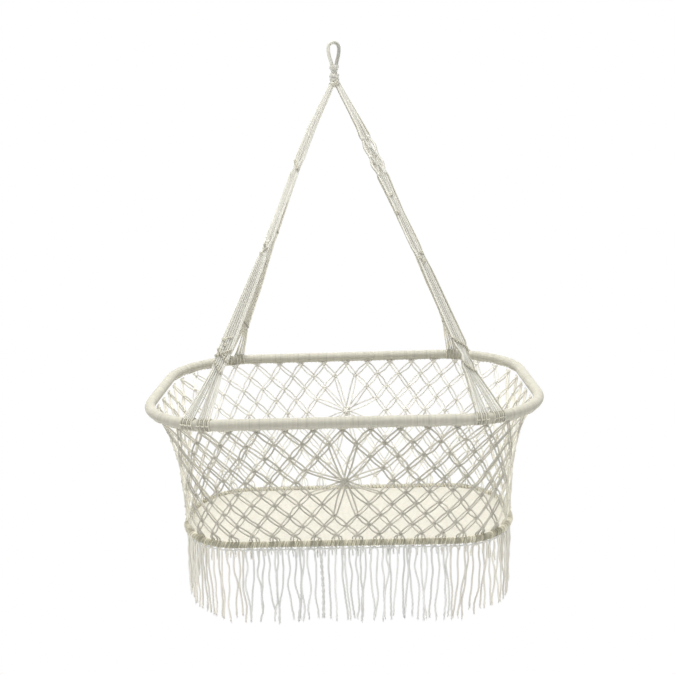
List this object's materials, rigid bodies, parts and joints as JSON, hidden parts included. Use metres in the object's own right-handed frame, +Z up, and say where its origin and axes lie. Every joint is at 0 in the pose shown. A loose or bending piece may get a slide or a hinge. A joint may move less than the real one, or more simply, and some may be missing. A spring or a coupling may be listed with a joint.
{
  "type": "rope hammock",
  "caption": "Hanging knotted rope hammock cradle: net basket between a large wrapped hoop and a smaller one, woven floor, fringe, gathered straps and a hanging eye.",
  "frame": {"origin": "axis of the hook bar where the eye hangs on it, so the whole cradle lies below the origin", "axes": "+X along the cradle's length, +Y towards its back and along the hook bar, +Z up"},
  "size_m": [0.886, 0.5932, 1.2806],
  "materials": {
    "cord_cream": "twisted cotton cord, cream, matt",
    "cord_pale": "tight cord whipping, pale cream, matt",
    "net_cord": "twisted cotton cord, grey-cream, matt",
    "hitch_cord": "cord half hitches, olive-beige, matt",
    "cane_rod": "bent cane rod, hidden under the wrapping",
    "floor_cloth": "plain-woven cotton cloth, off-white, matt",
    "fringe_cord": "loose cotton cord with frayed ends, cream"
  },
  "bodies": {
    "eye": {"hanging_loop": "cord_cream", "eye_whipping": "cord_pale"},
    "neck_ball": {"neck_core": "cord_cream"},
    "neck_knot": {"throat_knot": "cord_cream"},
    "crown": {"throat_whipping": "cord_pale", "crown_knot": "cord_cream"},
    "upper": {"strap_front_left": "cord_cream", "strap_front_right": "cord_cream", "strap_back_left": "cord_cream", "strap_back_right": "cord_cream", "strap_hitches_front_left": "cord_cream", "strap_hitches_front_right": "cord_cream", "strap_hitches_back_left": "cord_cream", "strap_hitches_back_right": "cord_cream", "upper_hoop_rod": "cane_rod", "upper_hoop_wrap": "cord_cream", "net_head_cord": "cord_cream", "net_front": "net_cord", "net_front_right": "net_cord", "net_right": "net_cord", "net_back_right": "net_cord", "net_back": "net_cord", "net_back_left": "net_cord", "net_left": "net_cord", "net_front_left": "net_cord", "rosette_front": "net_cord", "rosette_back": "net_cord"},
    "lower": {"lower_hoop_rod": "cane_rod", "lower_hoop_hitches": "hitch_cord", "woven_floor": "floor_cloth", "fringe_header_cord": "fringe_cord", "fringe_corners": "fringe_cord"},
    "fringe_front_body": {"fringe_front": "fringe_cord"},
    "fringe_back_body": {"fringe_back": "fringe_cord"},
    "fringe_left_body": {"fringe_left": "fringe_cord"},
    "fringe_right_body": {"fringe_right": "fringe_cord"}
  },
  "joints": [
    {"name": "swing_lengthwise", "type": "hinge", "parent": "eye", "child": "neck_ball", "pos_m": [0, 0, -0.052], "axis": [0, 1, 0], "range_deg": [-15, 15]},
    {"name": "swing_crosswise", "type": "hinge", "parent": "neck_ball", "child": "neck_knot", "pos_m": [0, 0, -0.052], "axis": [1, 0, 0], "range_deg": [-15, 15]},
    {"name": "twist", "type": "hinge", "parent": "neck_knot", "child": "crown", "pos_m": [0, 0, -0.0623], "axis": [0, 0, 1], "range_deg": [-90, 90]},
    {"name": "suspension_fold", "type": "slide", "parent": "crown", "child": "upper", "axis": [0, 0, 1], "range_m": [0, 0.55], "deforming": ["strap_front_left", "strap_front_right", "strap_back_left", "strap_back_right"]},
    {"name": "net_fold", "type": "slide", "parent": "upper", "child": "lower", "axis": [0, 0, 1], "range_m": [0, 0.24], "deforming": ["net_front", "net_front_right", "net_right", "net_back_right", "net_back", "net_back_left", "net_left", "net_front_left", "rosette_front", "rosette_back"]},
    {"name": "fringe_front_sway", "type": "hinge", "parent": "lower", "child": "fringe_front_body", "pos_m": [0, -0.162, -1.094], "axis": [1, 0, 0], "range_deg": [-20, 20]},
    {"name": "fringe_back_sway", "type": "hinge", "parent": "lower", "child": "fringe_back_body", "pos_m": [0, 0.162, -1.094], "axis": [1, 0, 0], "range_deg": [-20, 20]},
    {"name": "fringe_left_sway", "type": "hinge", "parent": "lower", "child": "fringe_left_body", "pos_m": [-0.386, 0, -1.094], "axis": [0, 1, 0], "range_deg": [-20, 20]},
    {"name": "fringe_right_sway", "type": "hinge", "parent": "lower", "child": "fringe_right_body", "pos_m": [0.386, 0, -1.094], "axis": [0, 1, 0], "range_deg": [-20, 20]}
  ]
}
